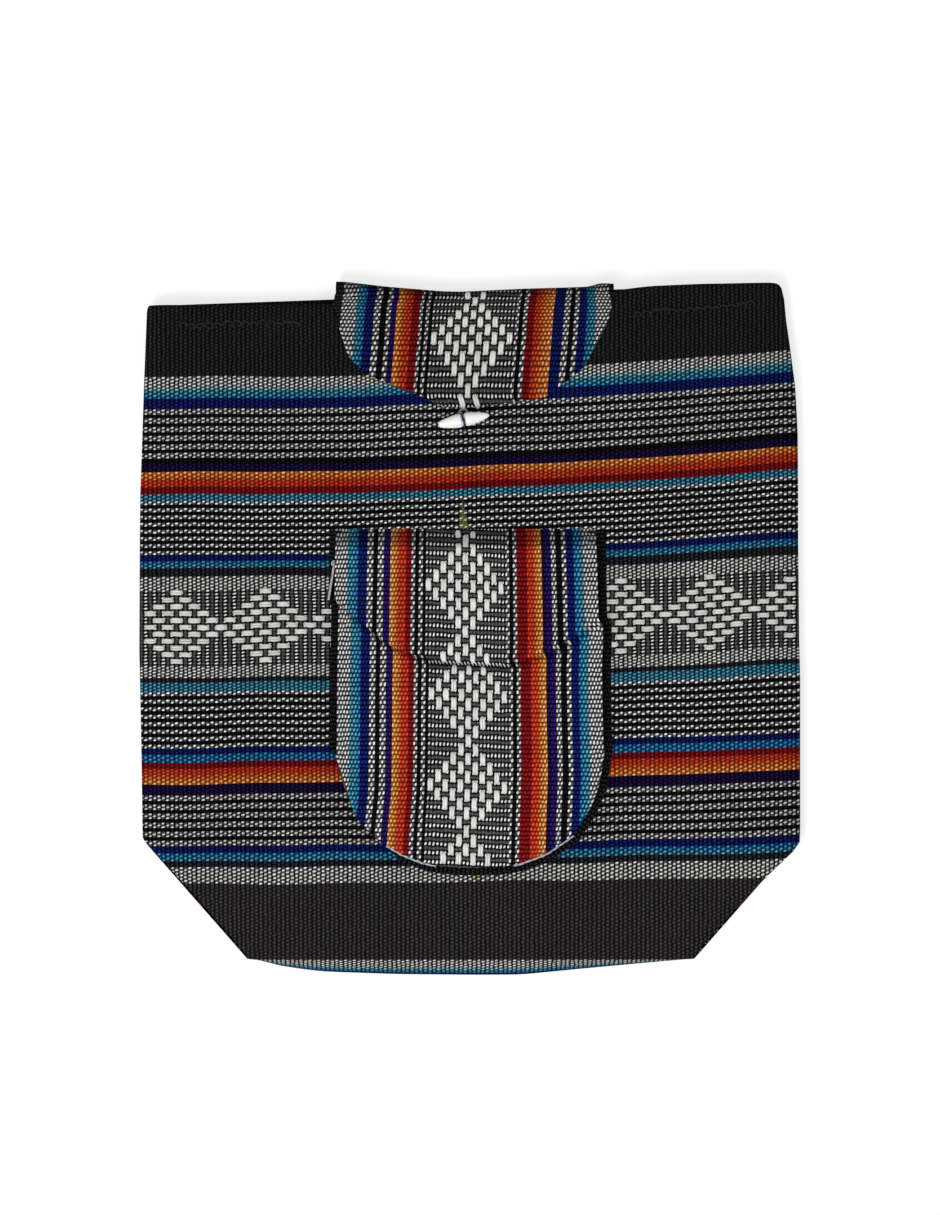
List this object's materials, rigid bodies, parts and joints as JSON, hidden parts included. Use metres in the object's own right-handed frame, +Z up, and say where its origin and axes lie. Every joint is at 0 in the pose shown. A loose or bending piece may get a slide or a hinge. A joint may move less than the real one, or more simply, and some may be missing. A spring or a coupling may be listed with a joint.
{
  "type": "hand-woven striped cloth backpack",
  "caption": "Flat-lying striped woven cloth backpack with drawstring hem, short toggle flap and bellows front pocket with a side zip",
  "frame": {"origin": "centre of the bag's outline on the surface it lies on", "axes": "+Z up out of the bag's front, +Y towards the mouth, +X to the right seen from the front"},
  "size_m": [0.402, 0.4221, 0.0289],
  "materials": {
    "striped_cloth": "heavy hand-woven cotton, black ribs with bands of coloured picks",
    "black_cloth": "plain black ribbed hand-woven cotton",
    "pale_thread": "twisted grey-white thread",
    "dark_thread": "dark violet sewing thread",
    "ivory_toggle": "smooth ivory-white turned spindle, slightly glossy",
    "zip_plastic": "black nylon coil",
    "zip_metal": "pale grey-lavender enamel, worn"
  },
  "bodies": {
    "bag": {"body_cloth": "striped_cloth", "flap": "striped_cloth", "flap_loop": "pale_thread", "pocket_panel": "striped_cloth", "pocket_gusset": "black_cloth", "zip_coil_upper": "zip_plastic", "zip_coil_lower": "zip_plastic", "strap_left": "black_cloth", "strap_right": "black_cloth", "haul_loop": "black_cloth"},
    "toggle_body": {"toggle": "ivory_toggle", "toggle_thread": "dark_thread"},
    "slider_body": {"zip_slider": "zip_metal"},
    "pull_body": {"zip_pull": "zip_metal"}
  },
  "joints": [
    {"name": "toggle_swivel", "type": "hinge", "parent": "bag", "child": "toggle_body", "pos_m": [-0.004, 0.1262, 0.0228], "axis": [0, 0, 1], "range_deg": [-101, 79]},
    {"name": "zip_travel", "type": "slide", "parent": "bag", "child": "slider_body", "axis": [0, -1, 0], "range_m": [0, 0.094]},
    {"name": "pull_swing", "type": "hinge", "parent": "slider_body", "child": "pull_body", "pos_m": [-0.08235, 0.0392, 0.0219], "axis": [0, 0, 1], "range_deg": [-115, 9]}
  ]
}
